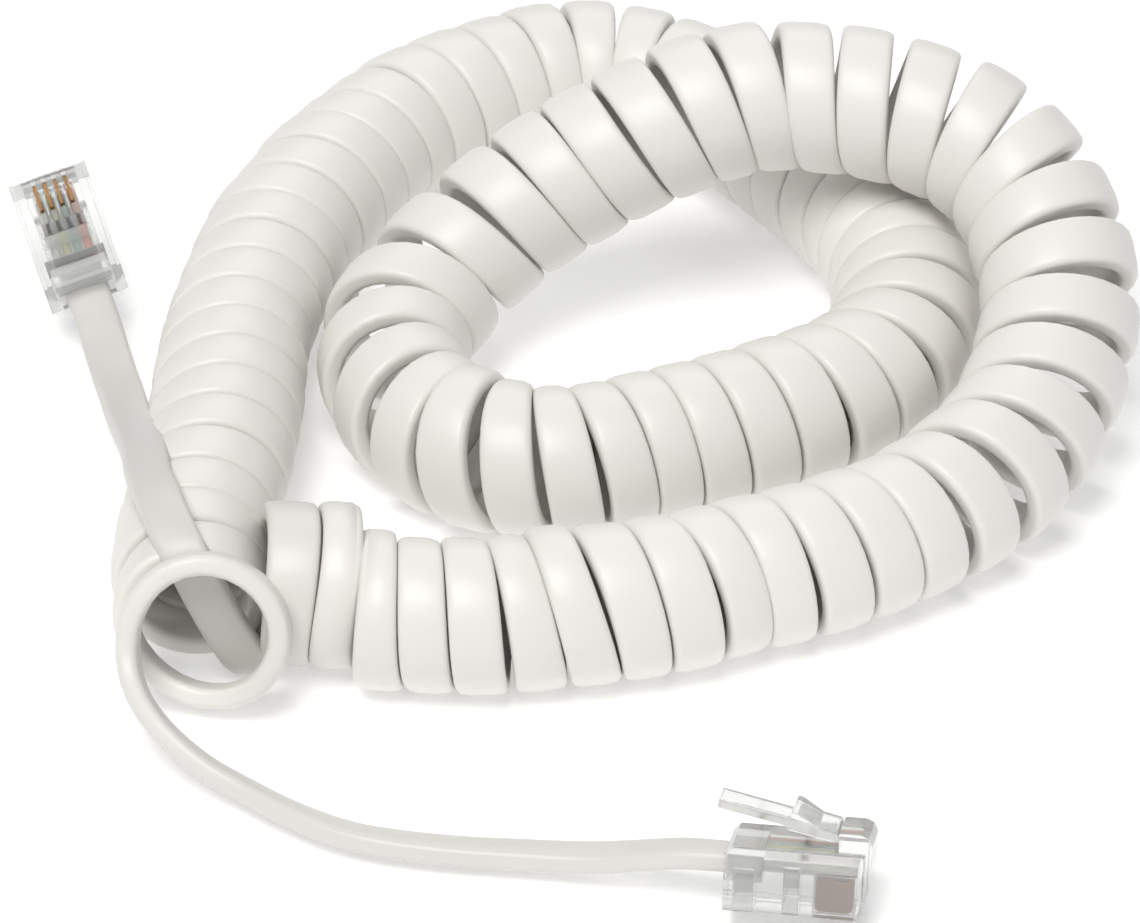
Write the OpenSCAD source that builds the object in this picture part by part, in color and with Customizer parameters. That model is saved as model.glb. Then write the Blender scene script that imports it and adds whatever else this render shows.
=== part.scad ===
// Coiled handset cord: a flat four-wire cord wound into a curly coil, lying in a
// spiral loop on a table, with a clear four-position modular plug on each end.
// Millimetres, +Z up. The origin is on the table, under the middle of the layout.

/* [Cord] */
// Width of the flat cord
cord_w = 4.9; // [4.7:0.1:5]
// Thickness of the flat cord
cord_t = 2.1; // [1.9:0.1:2.3]
// Outer diameter of the curly coil
coil_d = 14; // [13:0.1:14]
// Outer diameter of the loose last turn
loose_turn_d = 15.7; // [15:0.1:16]

/* [Plug] */
// Width of the plug body
plug_w = 7.6; // [7.5:0.05:7.7]
// Height of the plug body, from the contact side to the latch side
plug_h = 5.8; // [5.7:0.05:5.9]
// Length of the plug body, without the nose block
plug_l = 12; // [11.8:0.1:12.4]
// Width of the nose block that the latch hangs from
nose_w = 5.2; // [4.8:0.1:5.6]
// Spacing of the four contacts
contact_pitch = 1.02; // [1:0.01:1.04]
// Thickness of a contact blade
blade_t = 0.3; // [0.25:0.05:0.35]
// Outer diameter of a wire's insulation
wire_d = 0.9; // [0.8:0.05:0.95]

/* [Latch] */
// Width of the latch lever that the finger presses
lever_w = 3.3; // [3:0.1:3.6]
// Thickness of the latch lever
lever_t = 0.9; // [0.7:0.05:1]
// Angle that the latch stands up from the plug body when it is released
latch_rise = 11; // [9:0.5:12]

/* [Hidden] */
PLUG_NODES = ["housing", "latch", "strain_bar", "wire_bar", "contact_1", "contact_2", "contact_3",
    "contact_4", "wire_1", "wire_2", "wire_3", "wire_4"];

white = "ivory";
clear_plastic = [0.85, 0.92, 0.95, 0.5];
gold = "goldenrod";
wire_colours = ["orangered", "green", "yellowgreen", "whitesmoke"];

// Middle of the layout, which becomes the origin
middle = [-0.2, -5.3, 0];

coil_r = coil_d / 2;
loose_r = (loose_turn_d - cord_t) / 2;

// Axis of the coil from the front left end, round the outer loop, over the inner
// loop, round the inner loop and back along the far left side to the near left
COIL_ROUTE = [
    [-24.5, -30.8, 7], [-21, -32, 7], [-16, -33.5, 7], [-11, -34, 7], [-6, -34, 7], [-0.5, -33, 7],
    [4.5, -32, 7], [10, -30.5, 7], [15, -28, 7], [20.5, -26, 7], [26, -23, 7], [31.5, -19, 7],
    [37, -13.5, 7], [41, -7.5, 7.5], [43.6, -1, 9], [45.1, 5, 11], [45.1, 10.5, 13.5], [43.7, 16, 16],
    [41, 20.5, 18.5], [37, 23.5, 20.5], [32.5, 25.5, 21.5], [27.5, 27, 22], [22.5, 28, 22],
    [17.5, 28, 22], [12, 27, 21], [7.5, 26, 19.5], [3, 25, 17.5], [-2, 23.5, 15], [-6.5, 21.5, 12.5],
    [-11, 18.5, 9.5], [-14.5, 14, 7.5], [-16.5, 8, 7], [-15.5, 1, 7], [-12.5, -5, 7], [-8.5, -8.5, 7],
    [-3.5, -10, 7], [2, -9.5, 7], [7.5, -7.5, 7], [13, -5.5, 7], [18.5, -3, 7], [24, 0.5, 7],
    [29, 6, 7], [31.4, 13, 7], [31.2, 20.5, 7], [29.5, 27, 7], [26.5, 33, 7], [22, 40, 7],
    [17, 46.5, 7], [11.5, 52, 7], [6, 55, 7], [0, 55.5, 7], [-6, 53.5, 7], [-11, 50.5, 7],
    [-16.5, 46, 7], [-21, 39.5, 7], [-24.5, 33, 7], [-27.5, 26, 7], [-29.5, 18, 7], [-31, 9.5, 7],
    [-31.5, 1, 7], [-32, -7, 7], [-33, -15, 7], [-34, -22, 7], [-34, -30, 7]];

// Flat lead to plug A: out of the plug, up over the left side of the coil, and down
// between the coil and its loose last turn to the start of the coil
LEAD_A_ROUTE = [
    [-44.1, 15.9, 4.4], [-43.3, 13.2, 3.3], [-42.5, 10, 2.9], [-41.6, 5.8, 3.7], [-40.7, 0.5, 5.7],
    [-39.9, -5, 8.2], [-39.2, -10.5, 10.5], [-38.5, -16.5, 12.7], [-37.7, -22.4, 14.2],
    [-36.7, -27.3, 15.1], [-35.7, -31, 15.2], [-34.4, -33.9, 14.2], [-33.4, -34.7, 12.6],
    [-32.4, -35, 10.4], [-31.3, -35, 7.8], [-30, -34.9, 5], [-28.8, -34.4, 2.7], [-27.2, -33, 1.5],
    [-25.6, -31, 1.2], [-24.2, -29.2, 1.3]];
// Direction of the flat lead's width at even steps from its plug to its other end
LEAD_A_WIDTH = [[0.94, 0.1, 0.3], [0.88, 0, 0.47], [0.9, 0, 0.4], [0.9, -0.4, 0]];

// Loose last turn of the coil
loose_turn_x = -32.5;
loose_turn_z = 8.4;
loose_turn_start = 76;
loose_turn_end = 460;
loose_turn_y = [-30.5, -39.4];
loose_turn_lean = 12.5;
loose_turn_settled = 200;

// Flat lead to plug B, from the loose turn down to the table and along it
LEAD_B_ROUTE = [
    [-39, -41.2, 6.8], [-38.5, -42.8, 6], [-37.3, -44.8, 4.8], [-35.3, -47, 3.6], [-32, -50.4, 2.4],
    [-28.5, -52.9, 1.9], [-24.6, -56, 1.8], [-20.2, -58.8, 1.8], [-16, -60.3, 1.8], [-10.4, -61.4, 1.8],
    [-4.7, -62.1, 1.8], [1.5, -63.2, 2.3], [6, -64.5, 3.5], [9.5, -65.6, 4.6]];
LEAD_B_WIDTH = [[0, -1, 0], [0, -0.86, 0.5], [0, -0.86, 0.5], [0, -0.96, 0.26], [-0.13, -0.93, 0.34]];

// How each plug lies: its place, then its heading, nose lift and roll in degrees
PLUG_A_PLACE = [-45.7, 17.2, 9.2];
PLUG_A_TURN = [20, 25, 164];
PLUG_B_PLACE = [13.5, -67.8, 1.4];
PLUG_B_TURN = [-98, 0, -20];

// Plug inside, measured from the rear face and from the contact side
cord_z = 3.8;
jacket_end = 3.2;
channel_gap = 0.15;
wire_start = 3.3;
wire_end = 11.4;
wire_z = 4.1;
slot_w = 0.45;
slot_y = [7.7, 11.3];
blade_y = [7.9, 11.1];
blade_z = [0.3, 3.6];
spike_h = 0.45;
strain_bar_y = [0.9, 2.5];
strain_bar_w = 5.6;
strain_bar_h = 1.2;
wire_bar_y = [5.2, 6.4];
wire_bar_w = 4.4;
wire_bar_top = 3.55;
pocket_gap = 0.1;
rear_bevel = 0.6;
wall_step = 0.4;

// Nose block and latch
block_y = [9.7, 12.6];
block_top = 7.5;
hinge_y = 9.15;
hinge_z = 7.1;
lever_end = -1.2;
barb_y = [5.2, 8];
barb_h = 0.8;
corner_r = 0.5;

function unit(v) = v / norm(v);
function at(list, i) = list[max(0, min(len(list) - 1, i))];
function tangent(route, i) = unit(at(route, i + 1) - at(route, i - 1));

// Width direction at a share of the way along a lead, from directions at even steps
function blend(dirs, share) =
    let (place = share * (len(dirs) - 1), i = min(floor(place), len(dirs) - 2), part = place - i)
    dirs[i] * (1 - part) + dirs[i + 1] * part;

// Direction v turned square to the unit vector t
function square_to(v, t) = unit(v - t * (v * t));

// Outline of the flat cord with its edges bevelled, in width and thickness
edge = cord_t * 0.3;
FLAT = [for (p = [[1, -1], [1, 1], [-1, 1], [-1, -1]]) for (k = p[0] == p[1] ? [0, 1] : [1, 0])
    [p[0] * (cord_w / 2 - k * edge), p[1] * (cord_t / 2 - (1 - k) * edge)]];

round_sides = 12;
ROUND = [for (i = [0.5:round_sides - 0.5])
    coil_r / cos(180 / round_sides) * [cos(i * 360 / round_sides), sin(i * 360 / round_sides)]];

function ring(centre, side, over, outline) = [for (p = outline) centre + side * p[0] + over * p[1]];

// Closed solid through rings of the same number of points
module loft(rings) {
    n = len(rings[0]);
    last = len(rings) - 1;
    polyhedron(
        points = [for (r = rings) each r],
        faces = concat(
            [[for (j = [n - 1:-1:0]) j]],
            [for (i = [0:last - 1]) for (j = [0:n - 1]) let (k = (j + 1) % n, a = i * n, b = a + n)
                each [[a + j, a + k, b + k], [a + j, b + k, b + j]]],
            [[for (j = [0:n - 1]) last * n + j]]),
        convexity = 12);
}

module coil() {
    color(white)
    loft([for (i = [0:len(COIL_ROUTE) - 1])
        let (t = tangent(COIL_ROUTE, i), side = square_to(cross(t, [0, 0, 1]), t))
        ring(COIL_ROUTE[i], side, cross(side, t), ROUND)]);
}

// Flat cord along a route, its width turning through the given directions
module flat_lead(route, dirs) {
    last = len(route) - 1;
    color(white)
    loft([for (i = [0:last])
        let (t = tangent(route, i), side = square_to(blend(dirs, i / last), t))
        ring(route[i], side, cross(side, t), FLAT)]);
}

// Point p of a plug's own frame, where the plug lies
function turned_x(p, a) = [p[0], p[1] * cos(a) - p[2] * sin(a), p[1] * sin(a) + p[2] * cos(a)];
function turned_y(p, a) = [p[0] * cos(a) + p[2] * sin(a), p[1], p[2] * cos(a) - p[0] * sin(a)];
function turned_z(p, a) = [p[0] * cos(a) - p[1] * sin(a), p[0] * sin(a) + p[1] * cos(a), p[2]];
function in_plug(p, place, turn) = place + turned_z(turned_x(turned_y(p, turn[2]), turn[1]), turn[0]);

module lead_a() {
    start = [for (y = [jacket_end, 0, -1.2]) in_plug([0, y, cord_z], PLUG_A_PLACE, PLUG_A_TURN)];
    width = -turned_z(turned_x(turned_y([1, 0, 0], PLUG_A_TURN[2]), PLUG_A_TURN[1]), PLUG_A_TURN[0]);
    flat_lead(concat(start, LEAD_A_ROUTE), concat([width], LEAD_A_WIDTH));
}

// Height along the coil of the loose turn, which draws away from the coil as it goes round
function loose_y(a) = let (share = min(1, (a - loose_turn_start) / (loose_turn_settled - loose_turn_start)))
    loose_turn_y[0] + (loose_turn_y[1] - loose_turn_y[0]) * share;

module lead_b() {
    loose_turn = [for (a = [loose_turn_start:24:loose_turn_end])
        [loose_turn_x - loose_r * sin(a), loose_y(a) + loose_r * cos(a) * sin(loose_turn_lean),
            loose_turn_z + loose_r * cos(a)]];
    finish = [for (y = [-1.2, 0, jacket_end]) in_plug([0, y, cord_z], PLUG_B_PLACE, PLUG_B_TURN)];
    flat_lead(concat(loose_turn, LEAD_B_ROUTE, finish), LEAD_B_WIDTH);
}

// Rounded bar along Y between two Y values, standing from z0 to z1
module bar(w, y, z0, z1, r = 0.2) {
    translate([0, y[0], 0])
    rotate([-90, 0, 0])
    linear_extrude(y[1] - y[0])
    translate([-w / 2 + r, -z1 + r])
    offset(r = r, $fn = 24)
    square([w - 2 * r, z1 - z0 - 2 * r]);
}

// Outline of the body seen from the side, in Y and Z
module body_side() {
    polygon([[0, 0], [plug_l - 0.5, 0], [plug_l, 0.6], [plug_l, plug_h], [rear_bevel, plug_h],
        [0, plug_h - rear_bevel]]);
}

// Outline of the nose block seen from the side, with a rounded nose
module block_side() {
    polygon([[plug_l - 1, 1.5], [plug_l + 0.1, 1.5], [block_y[1], 3.8], [block_y[1], block_top - 1],
        [block_y[1] - 0.35, block_top - 0.3], [block_y[1] - 1, block_top], [block_y[0], block_top],
        [block_y[0], plug_h - 0.5], [plug_l - 1, plug_h - 0.5]]);
}

// Plate with the outline in its children, in Y and Z, centred across the plug
module across(w) {
    translate([-w / 2, 0, 0])
    rotate([90, 0, 90])
    linear_extrude(w)
    children();
}

module housing() {
    color(clear_plastic)
    difference() {
        union() {
            across(plug_w) body_side();
            across(nose_w) block_side();
        }
        // Opening for the flat cord
        translate([-cord_w / 2 - channel_gap, -1, cord_z - cord_t / 2 - channel_gap])
        cube([cord_w + 2 * channel_gap, jacket_end + 1.1, cord_t + 2 * channel_gap]);
        // Channel for the four wires
        translate([-contact_pitch * 1.5 - wire_d / 2 - 0.1, jacket_end, wire_z - wire_d / 2 - 0.1])
        cube([contact_pitch * 3 + wire_d + 0.2, wire_end - jacket_end + 0.1, wire_d + 0.2]);
        // Slots for the contact blades
        for (i = [0:3])
            translate([(i - 1.5) * contact_pitch - slot_w / 2, slot_y[0], -1])
            cube([slot_w, slot_y[1] - slot_y[0], wire_z + 1]);
        // Pockets that the two anchor bars are pressed down into
        translate([-strain_bar_w / 2 - pocket_gap, strain_bar_y[0] - pocket_gap, -1])
        cube([strain_bar_w + 2 * pocket_gap, strain_bar_y[1] - strain_bar_y[0] + 2 * pocket_gap,
            cord_z + 1]);
        translate([-wire_bar_w / 2 - pocket_gap, wire_bar_y[0] - pocket_gap, -1])
        cube([wire_bar_w + 2 * pocket_gap, wire_bar_y[1] - wire_bar_y[0] + 2 * pocket_gap, wire_z + 1]);
        // Steps along both edges of the contact side
        for (m = [0, 1])
            mirror([m, 0, 0])
            translate([plug_w / 2 - wall_step, -1, -1])
            cube([1, plug_l + 2, 1 + wall_step]);
    }
}

// Latch: a round root on the nose block, a wide part up to the barb, then the lever
module latch() {
    color(clear_plastic)
    translate([0, hinge_y, hinge_z])
    rotate([-latch_rise, 0, 0])
    union() {
        rotate([0, 90, 0])
        cylinder(r = lever_t / 2, h = nose_w, center = true, $fn = 32);
        translate([-nose_w / 2, barb_y[0] - hinge_y, -lever_t / 2])
        cube([nose_w, hinge_y - barb_y[0], lever_t]);
        across(nose_w)
        polygon([[barb_y[0] - hinge_y, 0], [barb_y[0] - hinge_y, lever_t / 2 + barb_h],
            [barb_y[0] - hinge_y + 0.5, lever_t / 2 + barb_h], [barb_y[1] - hinge_y, lever_t / 2 - 0.1],
            [barb_y[1] - hinge_y, 0]]);
        translate([-lever_w / 2, lever_end - hinge_y, -lever_t / 2])
        cube([lever_w, barb_y[0] - lever_end + 0.1, lever_t]);
    }
}

module strain_bar() {
    color(clear_plastic)
    bar(strain_bar_w, strain_bar_y, cord_z - cord_t / 2 - strain_bar_h, cord_z - cord_t / 2);
}

module wire_bar() {
    color(clear_plastic)
    bar(wire_bar_w, wire_bar_y, wire_bar_top - 1.4, wire_bar_top);
}

// Contact blade: a thin plate on edge with two spikes towards its wire
module contact(i) {
    color(gold)
    translate([(i - 2.5) * contact_pitch, 0, 0])
    across(blade_t)
    polygon([[blade_y[0] + 0.3, blade_z[0]], [blade_y[1] - 0.3, blade_z[0]], [blade_y[1], blade_z[0] + 0.3],
        [blade_y[1], blade_z[1]],
        [blade_y[1] - 0.7, blade_z[1] - spike_h], [blade_y[0] + 1.8, blade_z[1] - spike_h],
        [blade_y[0] + 1.2, blade_z[1]], [blade_y[0] + 0.6, blade_z[1] - spike_h],
        [blade_y[0], blade_z[1] - spike_h],
        [blade_y[0], blade_z[0] + 0.3]]);
}

module wire(i) {
    color(wire_colours[i - 1])
    translate([(i - 2.5) * contact_pitch, wire_start, wire_z])
    rotate([-90, 0, 0])
    cylinder(d = wire_d, h = wire_end - wire_start, $fn = 32);
}

// One named piece of a plug, in the plug's own frame: rear face at y = 0, nose towards
// +Y, contact side at z = 0 and latch side up
module plug_piece(name) {
    if (name == "housing") housing();
    if (name == "latch") latch();
    if (name == "strain_bar") strain_bar();
    if (name == "wire_bar") wire_bar();
    for (i = [1:4]) {
        if (name == str("contact_", i)) contact(i);
        if (name == str("wire_", i)) wire(i);
    }
}

module placed(place, turn) {
    translate(place)
    rotate([0, 0, turn[0]])
    rotate([turn[1], 0, 0])
    rotate([0, turn[2], 0])
    children();
}

translate(-middle) coil();
translate(-middle) lead_a();
translate(-middle) lead_b();
for (name = PLUG_NODES) {
    translate(-middle) placed(PLUG_A_PLACE, PLUG_A_TURN) plug_piece(name);
    translate(-middle) placed(PLUG_B_PLACE, PLUG_B_TURN) plug_piece(name);
}
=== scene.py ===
"""Coiled telephone handset cord on a white table: camera, light, cord and plugs on the fixed frame."""
import math

import bmesh
import bpy
import numpy as np
from mathutils import Matrix, Vector


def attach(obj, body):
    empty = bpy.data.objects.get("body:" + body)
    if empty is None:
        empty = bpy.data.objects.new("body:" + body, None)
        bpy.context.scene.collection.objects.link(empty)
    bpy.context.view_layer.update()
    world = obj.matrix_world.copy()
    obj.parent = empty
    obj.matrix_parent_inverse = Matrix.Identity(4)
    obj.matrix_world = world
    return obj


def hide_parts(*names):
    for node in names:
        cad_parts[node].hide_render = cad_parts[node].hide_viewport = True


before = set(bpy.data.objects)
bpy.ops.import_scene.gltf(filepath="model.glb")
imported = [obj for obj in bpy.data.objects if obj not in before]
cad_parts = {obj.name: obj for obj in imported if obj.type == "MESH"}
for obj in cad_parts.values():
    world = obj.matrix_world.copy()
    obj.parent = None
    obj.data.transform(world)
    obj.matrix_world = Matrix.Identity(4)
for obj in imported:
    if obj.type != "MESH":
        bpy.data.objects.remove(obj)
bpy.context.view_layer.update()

MM = 0.001
scene = bpy.context.scene
rng = np.random.default_rng(11)

# ---------------------------------------------------------------- sizes, in millimetres
MIDDLE = np.array([-0.2, -5.3, 0.0])
CORD_W = 4.9
LEAD_W = 4.2
CORD_T = 2.1
COIL_R = 7.1 - CORD_T / 2
LOOSE_R = 6.8
LOOSE_LEAN = math.sin(math.radians(12.5))
PER_TURN = 30
EDGE_ROUND, FACE_CROWN = 0.66, 0.12
LEAD_B_STEP = 1.2
JOINT_REACH = 4
NEIGHBOUR_SHARE = 0.49  # how far towards the next turn the cord may reach

COIL_ROUTE = [
    (-27.5, -32.6, 7), (-24.5, -32.8, 7), (-21, -33.2, 7), (-16, -33.6, 7), (-11, -34, 7), (-6, -34, 7),
    (-0.5, -33, 7), (4.5, -32, 7), (10, -30.5, 7), (15, -28, 7), (20.5, -26, 7), (26, -23, 7),
    (31.5, -19, 7),
    (37, -13.5, 7), (41, -7.5, 7.5), (43.6, -1, 9), (45.1, 5, 11), (45.1, 10.5, 13.5), (43.7, 16, 16),
    (41, 20.5, 18.5), (37, 23.5, 20.5), (32.5, 25.5, 21.5), (27.5, 27, 22), (22.5, 28, 22),
    (17.5, 28, 22), (12, 27, 21), (7.5, 26, 19.5), (3, 25, 17.5), (-2, 23.5, 15), (-6.5, 21.5, 12.5),
    (-11, 18.5, 9.5), (-14.5, 14, 7.5), (-16.5, 8, 7), (-15.5, 1, 7), (-12.5, -5, 7), (-8.5, -8.5, 7),
    (-3.5, -10, 7), (2, -9.5, 7), (7.5, -7.5, 7), (13, -5.5, 7), (18.5, -3, 7), (24, 0.5, 7),
    (29, 6, 7), (31.4, 13, 7), (31.2, 20.5, 7), (29.5, 27, 7), (26.5, 33, 7), (22, 40, 7),
    (17, 46.5, 7), (11.5, 52, 7), (6, 55, 7), (0, 55.5, 7), (-6, 53.5, 7), (-11, 50.5, 7),
    (-16.5, 46, 7), (-21, 39.5, 7), (-24.5, 33, 7), (-27.5, 26, 7), (-29.5, 18, 7), (-31, 9.5, 7),
    (-31.5, 1, 7), (-32, -7, 7), (-33, -15, 7), (-34, -22, 7), (-34, -30, 7)]

# Spacing of the turns at places along the coil
PITCH = [(0, 4.0), (14, 4.0), (18, 4.5), (36, 4.4), (42, 4.6), (60, 4.8), (68, 6.3), (90, 6.4), (108, 5.9),
         (118, 5.2), (126, 5.8), (136, 4.9), (160, 5.1), (168, 7.8), (190, 6.4), (198, 4.0), (212, 4.3),
         (240, 4.7), (413, 4.9)]
FIRST_TURN = 190
# Turns that lie unevenly: turn, shift along the coil, lean along the coil, growth of the radius
UNEVEN = [(0.7, 0, 1.2, 0.5), (1.7, 0, 1.9, 0.5), (2.7, -0.2, 0.6, 0), (3.7, 0.2, 0.5, 0), (4.7, 0, 0.4, 0),
          (6.6, -0.5, -1.1, 0.5), (7.6, 0, -0.6, 0.1), (34, 0, 0.8, 0.3), (37.5, 0, -0.7, 0.3)]
# Radius gained where the coil lies spread out
SPREAD = [(60, 0), (75, 0.3), (105, 0.3), (118, 0)]
# The first two turns lie further back than the rest
SET_BACK, SET_BACK_END = 3.2, (1.97, 2.47)
LOOSE_START, LOOSE_END, LOOSE_SETTLED = -60, 460, 235
LOOSE_X, LOOSE_Z = -32.5, 8.4
LOOSE_FORWARD, LOOSE_FORWARD_FROM = 2.4, 350
LOOSE_Y = (-30.0, -38.8)

LEAD_A = [
    (-44.1, 15.9, 4.4), (-43.3, 13.2, 3.3), (-42.5, 10, 2.9), (-41.7, 5.8, 3.7), (-41, 0.5, 5.7),
    (-40.3, -5, 8.2), (-39.5, -10.5, 10.5), (-38.5, -16.5, 12.7), (-37.8, -22.4, 14.2),
    (-36.7, -27.3, 15.2), (-35.7, -31, 15.2), (-34.4, -33.9, 14.2), (-33.4, -34.7, 12.6),
    (-32.4, -35, 10.4), (-31.3, -35, 7.8), (-30, -34.9, 5), (-28.8, -34.4, 2.7), (-27.6, -33, 1.4)]
LEAD_A_WIDTH = [(0.97, 0.05, 0.1), (0.96, 0, 0.05), (0.95, 0, 0.1), (0.9, 0, 0.4)]
LEAD_B = [
 (-37.9, -45.1, 5.8), (-35.5, -48.2, 4.4), (-32.2, -50.8, 2.9), (-28.5, -53, 1.9),
    (-24.6, -56, 1.7), (-20.2, -58.8, 1.7), (-16, -60.3, 1.7), (-10.4, -61.4, 1.7),
    (-4.7, -62.1, 1.8), (1.5, -63.2, 2.3), (6, -64.5, 3.5), (9.5, -65.6, 4.6)]
LEAD_B_WIDTH = [(0, -0.88, 0.48), (0, -0.93, 0.36), (0, -0.96, 0.28)]

CORD_Z = 3.8
JACKET_END = 3.2
PLUG_A_PLACE, PLUG_A_TURN = (-45.7, 17.2, 9.2), (20, 25, 164)
PLUG_B_PLACE, PLUG_B_TURN = (13.5, -67.8, 1.4), (-98, 0, -20)


# ---------------------------------------------------------------- camera, light and table
def add_object(name, data):
    obj = bpy.data.objects.new(name, data)
    scene.collection.objects.link(obj)
    return obj


target = Vector((0.0002, 0.0053, 0.0))
camera_data = bpy.data.cameras.new("camera")
camera_data.lens = 287.4
camera_data.sensor_width = 36
camera_data.clip_start = 0.01
camera_data.clip_end = 20
camera = add_object("camera", camera_data)
camera.location = target + Vector((0, -0.6902, 0.4833))
camera.rotation_euler = (target - camera.location).to_track_quat("-Z", "Y").to_euler()
scene.camera = camera


def area_light(name, place, size, watts, colour=(1, 1, 1)):
    data = bpy.data.lights.new(name, "AREA")
    data.shape = "DISK"
    data.size = size
    data.energy = watts
    data.color = colour
    light = add_object(name, data)
    light.location = place
    light.rotation_euler = (Vector((0, 0, 0)) - light.location).to_track_quat("-Z", "Y").to_euler()
    return light


area_light("key", (-0.3, -0.55, 1.25), 0.8, 14.5, (1, 0.99, 0.975))
area_light("fill", (0.9, -0.6, 0.5), 0.9, 0.5)
area_light("back", (0.1, 0.9, 0.7), 0.7, 2.0)

world = bpy.data.worlds.new("studio")
scene.world = world
world.use_nodes = True
world.node_tree.nodes["Background"].inputs["Color"].default_value = (1, 1, 1, 1)
world.node_tree.nodes["Background"].inputs["Strength"].default_value = 0.36
scene.view_settings.view_transform = "Standard"


# ---------------------------------------------------------------- materials
class Nodes:
    """A short way to write a node material."""

    def __init__(self, name):
        self.material = bpy.data.materials.new(name)
        self.material.use_nodes = True
        self.tree = self.material.node_tree
        self.shader = self.tree.nodes["Principled BSDF"]

    def add(self, kind, **values):
        node = self.tree.nodes.new(kind)
        for key, value in values.items():
            if key in node.inputs:
                node.inputs[key].default_value = value
            else:
                setattr(node, key, value)
        return node

    def link(self, a, b):
        self.tree.links.new(a, b)

    def set(self, **values):
        for key, value in values.items():
            self.shader.inputs[key.replace("_", " ")].default_value = value


def ramp_node(nodes, source, stops):
    ramp = nodes.add("ShaderNodeValToRGB")
    elements = ramp.color_ramp.elements
    while len(elements) < len(stops):
        elements.new(0.5)
    for element, (place, colour) in zip(elements, stops):
        element.position = place
        element.color = (*colour, 1)
    nodes.link(source, ramp.inputs["Fac"])
    return ramp


def jacket_material():
    n = Nodes("jacket_pvc")
    where = n.add("ShaderNodeTexCoord").outputs["Object"]
    broad = n.add("ShaderNodeTexNoise", Scale=22.0, Detail=3.0, Roughness=0.5)
    n.link(where, broad.inputs["Vector"])
    base = ramp_node(n, broad.outputs["Fac"], [(0.35, (0.77, 0.755, 0.72)), (0.7, (0.8, 0.79, 0.76))])
    smudge = n.add("ShaderNodeTexNoise", Scale=95.0, Detail=4.0, Roughness=0.6)
    n.link(where, smudge.inputs["Vector"])
    mask = ramp_node(n, smudge.outputs["Fac"], [(0.66, (0, 0, 0)), (0.8, (0.22, 0.22, 0.22))])
    # Painted shade: the straight leads get a greyer base colour that stands for the shade falling on them
    lead = n.add("ShaderNodeMix", data_type="RGBA")
    lead.inputs["B"].default_value = (0.63, 0.62, 0.595, 1)
    n.link(n.add("ShaderNodeAttribute", attribute_name="lead").outputs["Fac"], lead.inputs["Factor"])
    n.link(base.outputs["Color"], lead.inputs["A"])
    mix = n.add("ShaderNodeMix", data_type="RGBA")
    mix.inputs["B"].default_value = (0.55, 0.47, 0.42, 1)
    n.link(mask.outputs["Color"], mix.inputs["Factor"])
    n.link(lead.outputs["Result"], mix.inputs["A"])
    n.link(mix.outputs["Result"], n.shader.inputs["Base Color"])
    rough = n.add("ShaderNodeMapRange")
    rough.inputs["To Min"].default_value = 0.36
    rough.inputs["To Max"].default_value = 0.48
    n.link(broad.outputs["Fac"], rough.inputs["Value"])
    n.link(rough.outputs["Result"], n.shader.inputs["Roughness"])
    grain = n.add("ShaderNodeTexNoise", Scale=900.0, Detail=2.0)
    n.link(where, grain.inputs["Vector"])
    bump = n.add("ShaderNodeBump", Strength=0.06, Distance=0.0001)
    n.link(grain.outputs["Fac"], bump.inputs["Height"])
    n.link(bump.outputs["Normal"], n.shader.inputs["Normal"])
    n.set(IOR=1.5)
    return n.material


def clear_material(name, clearness):
    n = Nodes(name)
    where = n.add("ShaderNodeTexCoord").outputs["Object"]
    noise = n.add("ShaderNodeTexNoise", Scale=600.0, Detail=2.0)
    n.link(where, noise.inputs["Vector"])
    rough = n.add("ShaderNodeMapRange")
    rough.inputs["To Min"].default_value = 0.03
    rough.inputs["To Max"].default_value = 0.1
    n.link(noise.outputs["Fac"], rough.inputs["Value"])
    n.link(rough.outputs["Result"], n.shader.inputs["Roughness"])
    n.set(Base_Color=(0.95, 0.953, 0.945, 1), Transmission_Weight=clearness, IOR=1.45)
    return n.material


def plain_material(name, colour, low, high, metallic=0.0, scale=400.0):
    n = Nodes(name)
    where = n.add("ShaderNodeTexCoord").outputs["Object"]
    noise = n.add("ShaderNodeTexNoise", Scale=scale, Detail=3.0)
    n.link(where, noise.inputs["Vector"])
    darker = tuple(c * 0.82 for c in colour)
    base = ramp_node(n, noise.outputs["Fac"], [(0.3, darker), (0.7, colour)])
    n.link(base.outputs["Color"], n.shader.inputs["Base Color"])
    rough = n.add("ShaderNodeMapRange")
    rough.inputs["To Min"].default_value = low
    rough.inputs["To Max"].default_value = high
    n.link(noise.outputs["Fac"], rough.inputs["Value"])
    n.link(rough.outputs["Result"], n.shader.inputs["Roughness"])
    n.set(Metallic=metallic)
    return n.material


jacket_mat = jacket_material()
clear_mat = clear_material("clear_plastic", 0.82)
bar_mat = clear_material("milky_plastic", 0.55)
gold_mat = plain_material("gold_contact", (0.34, 0.19, 0.09), 0.25, 0.42, metallic=1.0)
wire_mats = {
    1: plain_material("wire_red", (0.75, 0.2, 0.09), 0.35, 0.5),
    2: plain_material("wire_green", (0.22, 0.42, 0.36), 0.35, 0.5),
    3: plain_material("wire_yellow", (0.58, 0.6, 0.25), 0.35, 0.5),
    4: plain_material("wire_white", (0.75, 0.74, 0.7), 0.35, 0.5)}

table_mat = plain_material("table_white", (0.96, 0.96, 0.96), 0.55, 0.65, scale=3.0)
table_shader = table_mat.node_tree.nodes["Principled BSDF"]
table_shader.inputs["Emission Color"].default_value = (1, 1, 1, 1)
table_shader.inputs["Emission Strength"].default_value = 0.28
table = bmesh.new()
bmesh.ops.create_grid(table, x_segments=8, y_segments=8, size=3.0)
table_mesh = bpy.data.meshes.new("table")
table.to_mesh(table_mesh)
table.free()
floor = add_object("table", table_mesh)
floor.data.materials.append(table_mat)


# ---------------------------------------------------------------- lines in space
def unit(v):
    return v / np.linalg.norm(v, axis=-1, keepdims=True)


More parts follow.
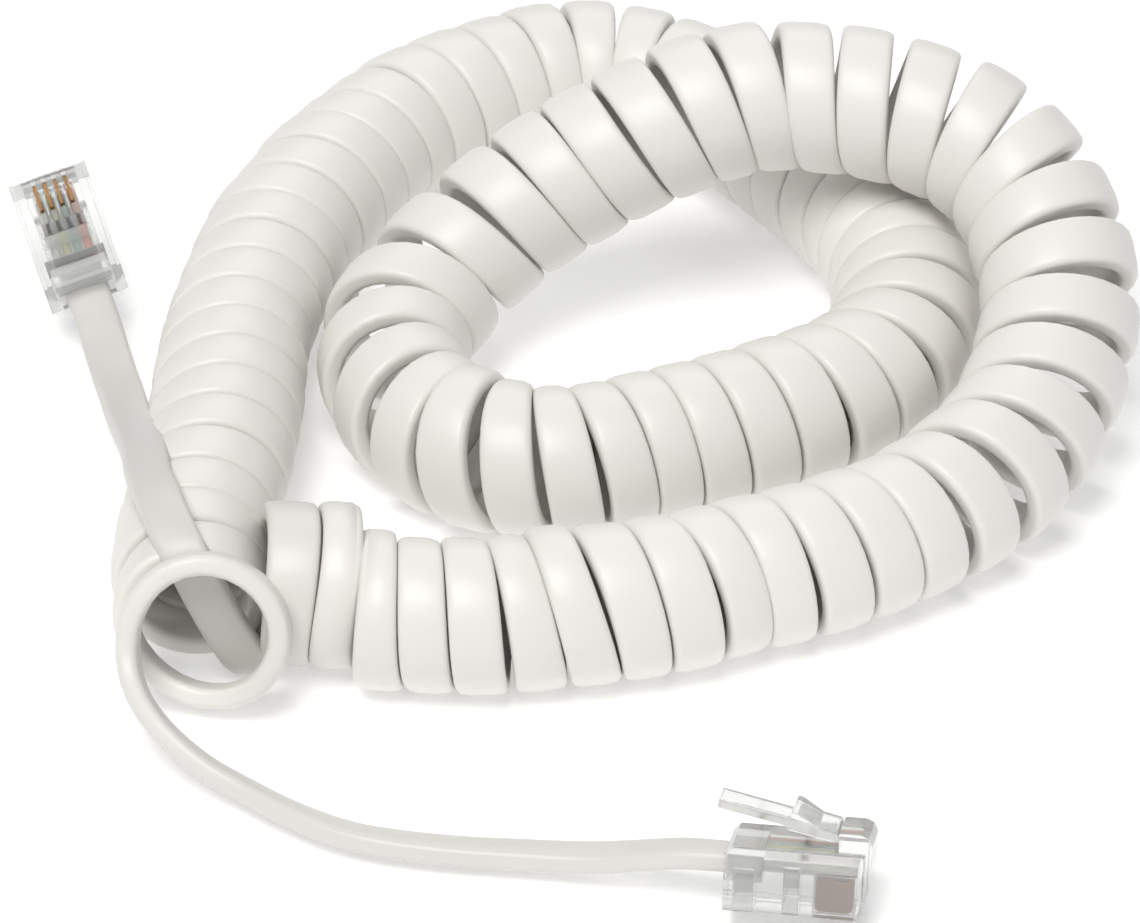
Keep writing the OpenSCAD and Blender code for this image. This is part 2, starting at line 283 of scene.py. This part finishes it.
def spline(points, steps):
    """Smooth line through the points, with the same number of samples between each two."""
    p = np.asarray(points, float)
    ends = np.vstack([2 * p[0] - p[1], p, 2 * p[-1] - p[-2]])
    t = np.linspace(0, 1, steps, endpoint=False)[:, None]
    out = []
    for i in range(1, len(ends) - 2):
        a, b, c, d = ends[i - 1:i + 3]
        out.append(0.5 * (2 * b + (c - a) * t + (2 * a - 5 * b + 4 * c - d) * t**2
                          + (3 * b - a - 3 * c + d) * t**3))
    out.append(p[-1:])
    return np.vstack(out)


def along(line):
    """Distance along the line at each of its samples."""
    return np.concatenate([[0], np.cumsum(np.linalg.norm(np.diff(line, axis=0), axis=1))])


def resampled(line, step):
    """The same line with even steps between its samples."""
    length = along(line)
    even = np.linspace(0, length[-1], int(length[-1] / step) + 1)
    return np.stack([np.interp(even, length, line[:, k]) for k in range(3)], 1)


def smooth(values, reach):
    """Moving average with a soft window, along the first axis."""
    window = np.hanning(2 * reach + 3)[1:-1]
    window /= window.sum()
    padded = np.concatenate([np.repeat(values[:1], reach, 0), values, np.repeat(values[-1:], reach, 0)])
    if values.ndim == 1:
        return np.convolve(padded, window, "valid")
    return np.stack([np.convolve(padded[:, k], window, "valid") for k in range(values.shape[1])], 1)


def by_turn(turns, size):
    """A small random value for each turn, passing smoothly from one turn to the next."""
    values = rng.uniform(-size, size, int(turns.max()) + 3)
    i = np.floor(turns).astype(int)
    part = turns - i
    part = part * part * (3 - 2 * part)
    return values[i] * (1 - part) + values[i + 1] * part


# Axis of the coil, every quarter of a millimetre, with its frame
axis = spline(COIL_ROUTE, 40)
length = along(axis)
coil_length = length[-1]
s = np.linspace(0, coil_length, int(coil_length * 4))
axis = smooth(np.stack([np.interp(s, length, axis[:, k]) for k in range(3)], 1), 6)
tangent = unit(np.gradient(axis, s, axis=0))
up = unit(np.array([0, 0, 1.0]) - tangent * tangent[:, 2:3])
across = np.cross(tangent, up)

# Angle of the cord round the axis, ending where the loose last turn starts
pitch = np.interp(s, [p[0] for p in PITCH], [p[1] for p in PITCH])
turned = np.concatenate([[0], np.cumsum(0.5 * (1 / pitch[1:] + 1 / pitch[:-1]) * np.diff(s))])
whole = round(turned[-1] + (FIRST_TURN - LOOSE_START) / 360)
total = whole - (FIRST_TURN - LOOSE_START) / 360
turned *= total / turned[-1]
count = int(total * PER_TURN)
turns = np.linspace(0, total, count)
at = np.interp(turns, turned, s)
angle = np.radians(FIRST_TURN) + 2 * np.pi * turns


def on_axis(values):
    return np.stack([np.interp(at, s, values[:, k]) for k in range(3)], 1)


centre, up_at, across_at, tangent_at = on_axis(axis), on_axis(up), on_axis(across), on_axis(tangent)
ease = np.clip(np.minimum(turns, total - turns), 0, 1)
radius = COIL_R + by_turn(turns, 0.16) * ease
radius += np.interp(at, [p[0] for p in SPREAD], [p[1] for p in SPREAD])
shift = by_turn(turns, 0.2) * ease
lean = by_turn(turns, 0.25) * ease
for turn, move, tip, grow in UNEVEN:
    near = np.exp(-((turns - turn) / 0.5) ** 2)
    shift += move * near
    lean += tip * near
    radius += grow * near
done = np.clip((turns - SET_BACK_END[0]) / (SET_BACK_END[1] - SET_BACK_END[0]), 0, 1)
centre -= (SET_BACK * (1 - done * done * (3 - 2 * done)))[:, None] * across_at
out = np.cos(angle)[:, None] * up_at + np.sin(angle)[:, None] * across_at
coil = centre + radius[:, None] * out + (shift + lean * np.cos(angle))[:, None] * tangent_at
coil[:, 2] += np.maximum(radius - 7 + CORD_T / 2, 0)

# Loose last turn, growing away from the coil
loose_count = int((LOOSE_END - LOOSE_START) / 360 * PER_TURN)
loose = np.radians(np.linspace(LOOSE_START, LOOSE_END, loose_count + 1)[1:])
share = np.clip((np.degrees(loose) - LOOSE_START) / (LOOSE_SETTLED - LOOSE_START), 0, 1)
grown = share * share * (3 - 2 * share)
loose_r = COIL_R + (LOOSE_R - COIL_R) * grown
loose_x = COIL_ROUTE[-1][0] + (LOOSE_X - COIL_ROUTE[-1][0]) * grown
loose_z = COIL_ROUTE[-1][2] + 0.1 + (LOOSE_Z - COIL_ROUTE[-1][2] - 0.1) * grown
leaving = np.clip((np.degrees(loose) - LOOSE_FORWARD_FROM) / (LOOSE_END - LOOSE_FORWARD_FROM), 0, 1)
loose_y = LOOSE_Y[0] + (LOOSE_Y[1] - LOOSE_Y[0]) * share - LOOSE_FORWARD * leaving**2
loose_y += LOOSE_LEAN * loose_r * np.cos(loose) * grown
ring = np.stack([loose_x - loose_r * np.sin(loose), loose_y, loose_z + loose_r * np.cos(loose)], 1)
wound = np.vstack([coil, ring])
ring_axis = np.stack([0 * grown, -1 + 0.16 * grown, 0.54 * grown], 1)
wound_axis = np.vstack([tangent_at, ring_axis])


def half_widths(points, sides):
    """Half the cord's width towards each neighbouring turn, never past halfway to that turn."""
    back = np.full(len(points), CORD_W / 2)
    ahead = back.copy()
    gap = np.abs(np.einsum("ij,ij->i", points[PER_TURN:] - points[:-PER_TURN], sides[:-PER_TURN]))
    ahead[:-PER_TURN] = np.minimum(CORD_W / 2, gap * NEIGHBOUR_SHARE)
    back[PER_TURN:] = np.minimum(CORD_W / 2, gap * NEIGHBOUR_SHARE)
    return smooth(back, 3), smooth(ahead, 3)


def plug_matrix(place, turn):
    heading, lift, roll = (math.radians(a) for a in turn)
    corner = Matrix.Translation(Vector((np.array(place) - MIDDLE) * MM))
    return (corner @ Matrix.Rotation(heading, 4, "Z") @ Matrix.Rotation(lift, 4, "X")
            @ Matrix.Rotation(roll, 4, "Y"))


PLUG_A, PLUG_B = plug_matrix(PLUG_A_PLACE, PLUG_A_TURN), plug_matrix(PLUG_B_PLACE, PLUG_B_TURN)


def plug_point(matrix, x, y, z):
    """A point of a plug's own frame, in millimetres in the layout's frame."""
    return np.array(matrix @ Vector((x * MM, y * MM, z * MM))) / MM + MIDDLE


def plug_width(matrix):
    return np.array(matrix.to_3x3() @ Vector((1, 0, 0)))


def lead_width(directions, count):
    """Directions at even steps, blended over a number of samples."""
    places = np.linspace(0, 1, len(directions))
    share = np.linspace(0, 1, count)
    return np.stack([np.interp(share, places, [d[k] for d in directions]) for k in range(3)], 1)


wound_side = unit(wound_axis)
start = [plug_point(PLUG_A, 0, y, CORD_Z) for y in (JACKET_END, 1.6, 0, -1.2)]
lead_a = spline(start + LEAD_A + [wound[0], wound[3], wound[6]], 6)[:-12]
finish = [plug_point(PLUG_B, 0, y, CORD_Z) for y in (-1.2, 0, 1.6, JACKET_END)]
lead_b = resampled(spline([wound[-5], wound[-3], wound[-1]] + LEAD_B + finish, 12)[24:], LEAD_B_STEP)
plug_a_side = -plug_width(PLUG_A)
width_a = lead_width([plug_a_side, plug_a_side] + LEAD_A_WIDTH + [wound_side[0]], len(lead_a))
width_b = lead_width([wound_side[-1]] + LEAD_B_WIDTH + [plug_width(PLUG_B)], len(lead_b))

line = np.vstack([lead_a[:-1], wound, lead_b[1:]])
side = np.vstack([width_a[:-1], wound_side, width_b[1:]])
first, last = len(lead_a) - 1, len(lead_a) - 1 + len(wound)
# Soften the bend where the loose turn passes into lead B
near_joint = np.exp(-((np.arange(len(line)) - last) / JOINT_REACH) ** 2)[:, None]
line = line * (1 - near_joint) + smooth(line, 3) * near_joint
forward = unit(np.gradient(line, axis=0))
radial = unit(np.cross(side, forward))
side[first:last] = unit(np.cross(forward[first:last], radial[first:last]))
side = unit(side - forward * np.einsum("ij,ij->i", side, forward)[:, None])
side = smooth(side, 3)
side = unit(side - forward * np.einsum("ij,ij->i", side, forward)[:, None])
over = np.cross(side, forward)
back, ahead = np.full(len(line), LEAD_W / 2), np.full(len(line), LEAD_W / 2)
back[first:last], ahead[first:last] = half_widths(wound, side[first:last])
back, ahead = smooth(back, 5), smooth(ahead, 5)


def flat_outline(corner, crown, steps=5):
    """Rounded outline of the flat cord: share of the half width, offset from it, and height."""
    edge_z = CORD_T / 2 - crown - corner
    points = []
    for sx, sz, begin in ((1, 1, 0), (-1, 1, 90), (-1, -1, 180), (1, -1, 270)):
        for k in range(steps + 1):
            a = math.radians(begin + 90 * k / steps)
            points.append((sx, corner * (math.cos(a) - sx), corner * math.sin(a) + sz * edge_z))
        if sx == sz:
            points.append((0.45 * sx, 0.0, sz * (CORD_T / 2 - crown * 0.15)))
            points.append((-0.45 * sx, 0.0, sz * (CORD_T / 2 - crown * 0.15)))
    return points


outline = flat_outline(EDGE_ROUND, FACE_CROWN)
rings = []
for sx, dx, z in outline:
    half = ahead if sx > 0 else back
    rings.append(line + side * (sx * half + dx)[:, None] + over * z)
rings = np.stack(rings, 1)
# The cord lies on the table and never goes below it
rings[:, :, 2] = np.maximum(rings[:, :, 2], 0)
sides = len(outline)
verts = ((rings.reshape(-1, 3) - MIDDLE) * MM).tolist()
faces = []
for i in range(len(line) - 1):
    for j in range(sides):
        k = (j + 1) % sides
        faces.append((i * sides + j, (i + 1) * sides + j, (i + 1) * sides + k, i * sides + k))
faces.append(tuple(range(sides)))
faces.append(tuple(reversed(range((len(line) - 1) * sides, len(line) * sides))))
mesh = bpy.data.meshes.new("cord_jacket")
mesh.from_pydata(verts, [], faces)
mesh.update()
jacket = add_object("cord_jacket", mesh)
bm = bmesh.new()
bm.from_mesh(mesh)
bmesh.ops.recalc_face_normals(bm, faces=bm.faces)
bm.to_mesh(mesh)
bm.free()
for polygon in mesh.polygons:
    polygon.use_smooth = True

# Painted shade: the straight leads are coloured greyer than the coil, lead A the most, to stand for the
# shade that falls on them
lead_shade_at = [0, first, first + PER_TURN, last - 2 * PER_TURN, last - 8, last + 12]
lead_shade_share = np.interp(np.arange(len(line)), lead_shade_at, [1, 1, 0, 0, 0.2, 0.7])
mesh.attributes.new("lead", "FLOAT", "POINT").data.foreach_set("value", np.repeat(lead_shade_share, sides))
jacket.data.materials.append(jacket_mat)
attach(jacket, "cord")
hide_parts("coil", "lead_a", "lead_b")


# ---------------------------------------------------------------- plugs
def rounded_copy(node, name, material, bevel, segments=2):
    """A copy of a CAD piece with its flat faces joined and its edges rounded."""
    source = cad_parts[node]
    shape = bmesh.new()
    shape.from_mesh(source.data)
    bmesh.ops.remove_doubles(shape, verts=shape.verts, dist=1e-6)
    bmesh.ops.dissolve_limit(shape, angle_limit=math.radians(2), verts=shape.verts, edges=shape.edges)
    data = bpy.data.meshes.new(name)
    shape.to_mesh(data)
    shape.free()
    obj = add_object(name, data)
    obj.data.materials.append(material)
    modifier = obj.modifiers.new("round", "BEVEL")
    modifier.width = bevel * MM
    modifier.segments = segments
    modifier.limit_method = "ANGLE"
    modifier.angle_limit = math.radians(25)
    modifier.harden_normals = False
    for polygon in data.polygons:
        polygon.use_smooth = False
    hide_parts(node)
    return obj


plug_pieces = {"a": [], "b": []}
for end in ("a", "b"):
    plug = f"plug_{end}_"
    housing = rounded_copy(plug + "housing", f"clear_body_{end}", clear_mat, 0.12)
    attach(housing, "cord")
    latch = rounded_copy(plug + "latch", f"clear_latch_{end}", clear_mat, 0.12)
    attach(latch, f"latch_{end}")
    plug_pieces[end] += [housing, latch]
    for part in ("strain_bar", "wire_bar"):
        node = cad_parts[plug + part]
        node.data.materials.clear()
        node.data.materials.append(bar_mat)
        plug_pieces[end].append(node)
    for i in range(1, 5):
        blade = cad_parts[f"{plug}contact_{i}"]
        blade.data.materials.clear()
        blade.data.materials.append(gold_mat)
        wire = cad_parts[f"{plug}wire_{i}"]
        wire.data.materials.clear()
        wire.data.materials.append(wire_mats[i])
        plug_pieces[end] += [blade, wire]

path = (line - MIDDLE) * MM
cord_length = float(along(path)[-1])

print("turns", round(float(total), 2), "cord length m", round(cord_length, 3), "vertices", len(verts))
